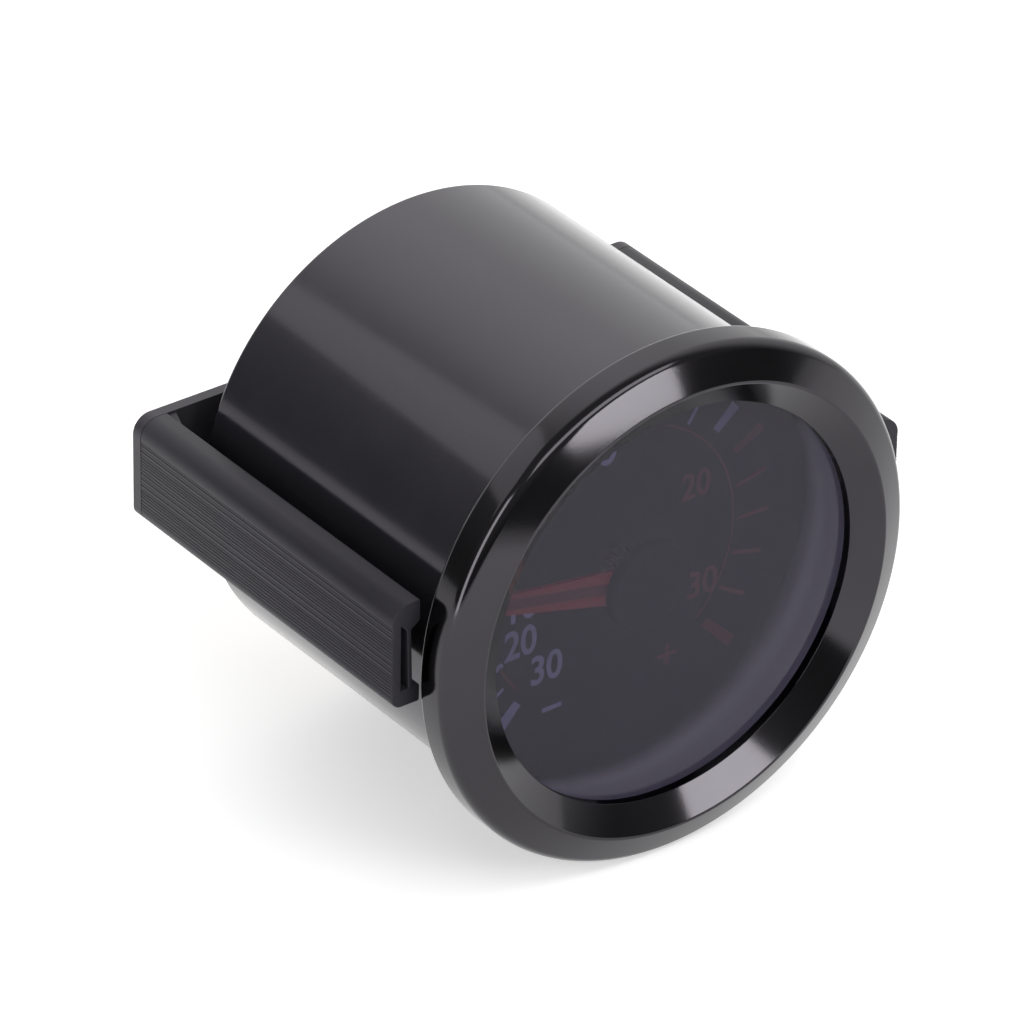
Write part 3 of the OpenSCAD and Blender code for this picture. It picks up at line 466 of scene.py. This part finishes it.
can_black = enamel("can_enamel", shade(0.0125, 0.012, 0.0145), 0.05, 0.0008)
cover_black = enamel("cover_enamel", shade(0.012, 0.012, 0.0135), 0.34, 0.008)
case_r, bore_r, flange_r = 26, 24.8, 27.1
flange_y, shell_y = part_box("case_body")[0].y / mm, -0.7
boss_r, boss_hole_r, boss_ring, cover_t = 2.2, 0.95, 22.2, 1.6
boss_y = cover_back - cover_t
boss_front = boss_y - cover_back * 0.148
bosses = [lathe([(boss_hole_r, boss_front), (boss_r, boss_front), (boss_r, boss_y),
                 (boss_hole_r, boss_y)], (boss_ring * math.cos(a), boss_ring * math.sin(a)), 32)
          for a in (math.radians(d) for d in (90, 210, 330))]
can = piece("can_shell", *gather(lathe(rounded([
    (case_r, shell_y, 0.1), (case_r, cover_back, 0.45), (bore_r, cover_back, 0.3),
    (bore_r, flange_y, 0.1), (flange_r, flange_y, 0.1), (flange_r, shell_y, 0.1)]), around=224),
    *bosses), can_black, "case", "case_black")
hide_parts("case_body")
dress(cover_black, "rear_cover")
dark_screw = cut_metal("blackened_steel", shade(0.06, 0.06, 0.065), shade(0.03, 0.03, 0.032), 0.26)
dress(dark_screw, "cover_screws")
rubber = moulded("black_rubber", shade(0.012, 0.012, 0.012), 0.6, 0.02)
dress(rubber, "wire_grommet", "port_ring", "lens_gasket")
dress(brass, "port_nut")

# Lens: a flat disc of smoked mineral glass, pressed on a rubber gasket by the bezel. It dims the
# dial and mirrors what is in front of it.
smoked = Finish("smoked_glass", {"Base Color": shade(0.012, 0.008, 0.026), "Roughness": 0.04,
                                 "Alpha": 0.45, "IOR": 1.5})
smoked.material.surface_render_method = "BLENDED"
dress(smoked, "lens")

# Bezel: a spun ring in black chrome that is rolled over the can's flange. Its front face slopes
# forward to a crest, and a cone falls from there to the lens.
chrome = Finish("black_chrome", {"Metallic": 1.0})
polish, haze = chrome.grain(0.3, 2), chrome.grain(9, 3)
chrome.feed({"Roughness": 0.08 + 0.05 * haze, "Base Color": chrome.blend(
    haze, shade(0.043, 0.041, 0.045), shade(0.053, 0.05, 0.055))})
chrome.bump(polish, 0.0015)
lens_y, lip, lens_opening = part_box("lens")[0].y / mm, 0.93, 22.16
seat_hole, pocket, rim, rim_y, crest, crest_y = 26.12, 27.3, 28.8, -4.02, 25.1, -5.86
bezel = piece("bezel_ring", *lathe(rounded([
    (seat_hole, 0, 0.1), (rim, 0, 0.7), (rim, rim_y, 1.5), (crest, crest_y, 0.4),
    (lens_opening, lens_y - lip, 0.08), (lens_opening, lens_y, 0), (pocket, lens_y, 0),
    (pocket, shell_y, 0), (seat_hole, shell_y, 0)], 14), around=320), chrome, "case",
    "black_chrome", 25)
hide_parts("bezel")

# Studs: two M4 steel studs with rolled threads, held by their heads inside the rear cover. The
# bracket's washers and thumb nuts go on them from behind.
stud_places = [(-11, 2.9), (11, 2.9)]
stud_low, stud_high = (v.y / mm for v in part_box("studs"))
stud_r, stud_depth, stud_pitch, head_r = 2, 0.3, 0.7, 3.4
studs = piece("threaded_studs", *gather(*[shape for place in stud_places for shape in (
    lathe(rounded([(0.3, stud_low, 0), (head_r, stud_low, 0.3), (head_r, boss_y, 0),
                   (0.3, boss_y, 0)]), place, 48),
    screw_thread(place, stud_r, stud_depth, stud_pitch, boss_y - 0.2, stud_high, 0.02, 48))]),
    plated_steel, "case", "bright_steel")
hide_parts("studs")

# Bracket: a flat plate and two extruded aluminium arms that pull the bezel against the panel. The
# arms are anodised satin black over fine drawing lines, and screwed to the plate from behind.
def extruded(loops, low_y, high_y, edge, mirrored=False):
    """A section drawn in X and Z, with its holes, run along Y and softened at both ends."""
    curve = bpy.data.curves.new("section", "CURVE")
    curve.dimensions, curve.fill_mode = "2D", "BOTH"
    curve.extrude, curve.bevel_depth = (high_y - low_y) / 2 - edge, edge
    curve.offset, curve.bevel_resolution = -edge, 1
    for loop in loops:
        spline = curve.splines.new("POLY")
        spline.points.add(len(loop) - 1)
        for point, (x, z) in zip(spline.points, loop):
            point.co = (x, z, 0, 1)
        spline.use_cyclic_u = True
    drawn = bpy.data.objects.new("section", curve)
    bpy.context.scene.collection.objects.link(drawn)
    bpy.context.view_layer.update()
    mesh = bpy.data.meshes.new_from_object(drawn)
    bpy.data.objects.remove(drawn)
    side, middle = (-1 if mirrored else 1), (low_y + high_y) / 2
    verts = [(side * v.co.x, middle + v.co.z, v.co.y) for v in mesh.vertices]
    faces = [tuple(polygon.vertices)[::-side] for polygon in mesh.polygons]
    bpy.data.meshes.remove(mesh)
    return verts, faces


arm_low, arm_high = (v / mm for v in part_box("left_arm"))
outer, foot, arm_h, arm_w = arm_low.x, arm_low.z, arm_high.z - arm_low.z, 3.34
lip_top, lip_foot, slope, slot_low, slot_high, leaf = 2.35, 1.9, 0.8, 1.1, 1.8, 0.5
lines = []
for i in range(23):
    z = 1.45 + 0.36 * i + 0.04 * math.sin(5.1 * i)
    cut = 0.03 + 0.035 * abs(math.sin(1.7 * i + 0.4))
    lines += [(0, z, 0), (cut, z + 0.07, 0), (cut, z + 0.15, 0), (0, z + 0.22, 0)]
section = rounded([(0, 0, 1.2)] + lines + [
    (0, arm_h, 2), (arm_w, arm_h, 0.2), (arm_w, arm_h - lip_top, 0.1),
    (slot_high + leaf, arm_h - lip_top - slope, 0.1), (slot_high + leaf + 0.2, lip_foot, 0.05),
    (arm_w, lip_foot, 0.1), (arm_w, 0, 0.25)])
slot = [(slot_low, lip_foot), (slot_high + 0.2, lip_foot), (slot_high, arm_h - lip_top - slope),
        (slot_low, arm_h - lip_top)]
arm_black = enamel("satin_anodise", shade(0.0155, 0.0148, 0.0178), 0.36, 0.014, 0.22)
for name, mirrored in (("left_arm", False), ("right_arm", True)):
    side = -1 if mirrored else 1
    rear = [(side * (outer + arm_w + x), y, foot + z) for z in (arm_h - lip_top, arm_h - 0.2)
            for x, y in ((-0.4, arm_high.y), (1, arm_high.y), (0, arm_high.y - 2.6),
                         (-0.4, arm_high.y - 2.6))]
    gusset = rear, [face[::-side] for face in ((3, 2, 1, 0), (4, 5, 6, 7), (0, 1, 5, 4),
                                               (1, 2, 6, 5), (2, 3, 7, 6), (3, 0, 4, 7))]
    arm = piece(name + "_drawn", *gather(extruded(
        [[(outer + x, foot + z) for x, z in loop] for loop in (section, slot)],
        arm_low.y, arm_high.y, 0.09, mirrored), gusset), arm_black, "bracket", "arm_black", 30)
    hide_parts(name)
plate_black = enamel("satin_powder_coat", shade(0.022, 0.0212, 0.0245), 0.36, 0.006, 0.4)
dress(plate_black, "bracket_plate")
dress(dark_screw, "arm_screws")

# Fastenings: on each stud a flat and a split washer, zinc plated, under a ridged thumb nut turned
# from brass bar. They clamp the bracket by hand, without a tool.
dress(plated_steel, "flat_washers", "spring_washers")
dress(brass, "left_thumb_nut", "right_thumb_nut")

# Floor: a plain pale sheet that the bezel's lowest edge touches. It is white where the camera,
# metal and glass see it, and keeps a soft shadow under the gauge.
floor_finish = Finish("pale_floor", {"Base Color": shade(0.84, 0.84, 0.84), "Roughness": 0.9,
                                     "Specular IOR Level": 0.1, "Emission Strength": 1.0})
rays = [floor_finish.node("LightPath", out="Is " + kind + " Ray")
        for kind in ("Camera", "Glossy", "Transmission")]
floor_finish.feed({"Emission Color": floor_finish.blend(
    (rays[0] + rays[1] + rays[2]).step(0, 1), shade(0, 0, 0), shade(0.44, 0.44, 0.44))})
floor_z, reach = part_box("bezel")[0].z - 0.0002, 6
floor_mesh = bpy.data.meshes.new("floor")
corners = ((-1, -1), (1, -1), (1, 1), (-1, 1))
floor_mesh.from_pydata([(a * reach, b * reach, floor_z) for a, b in corners], [], [(0, 1, 2, 3)])
floor_mesh.materials.append(floor_finish.material)
floor = bpy.data.objects.new("floor", floor_mesh)
bpy.context.scene.collection.objects.link(floor)


# Light: a dark studio with a white backdrop behind and to the right of the gauge. Soft boxes in
# front, at the left and above are what the black chrome mirrors as bright streaks.
def toward(bearing, height):
    """The direction at bearing degrees right of straight ahead of the dial, raised by height."""
    b, h = math.radians(bearing), math.radians(height)
    return Vector((math.sin(b) * math.cos(h), -math.cos(b) * math.cos(h), math.sin(h)))


def soft_box(name, bearing, height, width, tall, bright):
    """A soft box whose face is bright times as bright as a white wall in this room."""
    lamp = bpy.data.lights.new(name, "AREA")
    lamp.shape, lamp.size, lamp.size_y = "RECTANGLE", width, tall
    lamp.energy = bright * math.pi * width * tall
    made = bpy.data.objects.new(name, lamp)
    made.location = toward(bearing, height) * box_distance
    made.rotation_euler = toward(bearing, height).to_track_quat("Z", "Y").to_euler()
    bpy.context.scene.collection.objects.link(made)


box_distance = 0.9
soft_box("front_box", 17, 23.5, 0.42, 0.33, 7.5)
soft_box("left_box", -78, 14, 0.27, 0.95, 4.6)
soft_box("crown_box", -4, 58, 1.0, 0.3, 3.2)
soft_box("rear_card", -140, 37, 0.5, 0.28, 0.9)

world = bpy.data.worlds.new("dark_studio")
bpy.context.scene.world = world
world.use_nodes = True


class Sky(Finish):
    """The world round the gauge, shaded by direction."""

    def __init__(self, tree):
        self.tree = tree
        self.place = self.node("TexCoord", out="Generated")
        self.shader = tree.nodes["Background"]

    def near(self, direction, far, close):
        """1 within the angle close of a direction, fading to 0 at the angle far."""
        along = self.node("VectorMath", {"operation": "DOT_PRODUCT"},
                          {0: self.place, 1: direction}, "Value")
        return along.step(math.cos(math.radians(far)), math.cos(math.radians(close)))


sky = Sky(world.node_tree)
backdrop = sky.near(toward(137, 0), 85, 48)
canopy = sky.near(toward(166, 48), 28, 4)
upper = sky.near((0, 0, 1), 84, 62)
studio = 0.14 + 1.1 * backdrop + 0.3 * canopy + 0.12 * upper
seen = sky.node("LightPath", out="Is Camera Ray") + sky.node("LightPath", out="Is Transmission Ray")
seen = seen.step(0, 1)
sky.feed({"Color": shade(1, 1, 1), "Strength": studio * (1 - seen) + seen})

# Camera: a long lens above and to the left of the dial, as in the photograph. Its place comes from
# the rings of the bezel and the rear edge of the can.
right = Vector((0.799809, -0.600025, 0.016616))
up = Vector((0.304346, 0.42923, 0.850374))
ahead = Vector((0.517378, 0.675079, -0.525917))
camera = bpy.data.cameras.new("camera")
camera.lens, camera.sensor_width = 281.25, 36
camera.clip_start, camera.clip_end = 0.05, 50
viewer = bpy.data.objects.new("camera", camera)
viewer.matrix_world = Matrix.Translation((-0.4197484, -0.5246207, 0.423845)) @ Matrix(
    (right, up, -ahead)).transposed().to_4x4()
bpy.context.scene.collection.objects.link(viewer)
bpy.context.scene.camera = viewer
bpy.context.scene.view_settings.view_transform = "Standard"
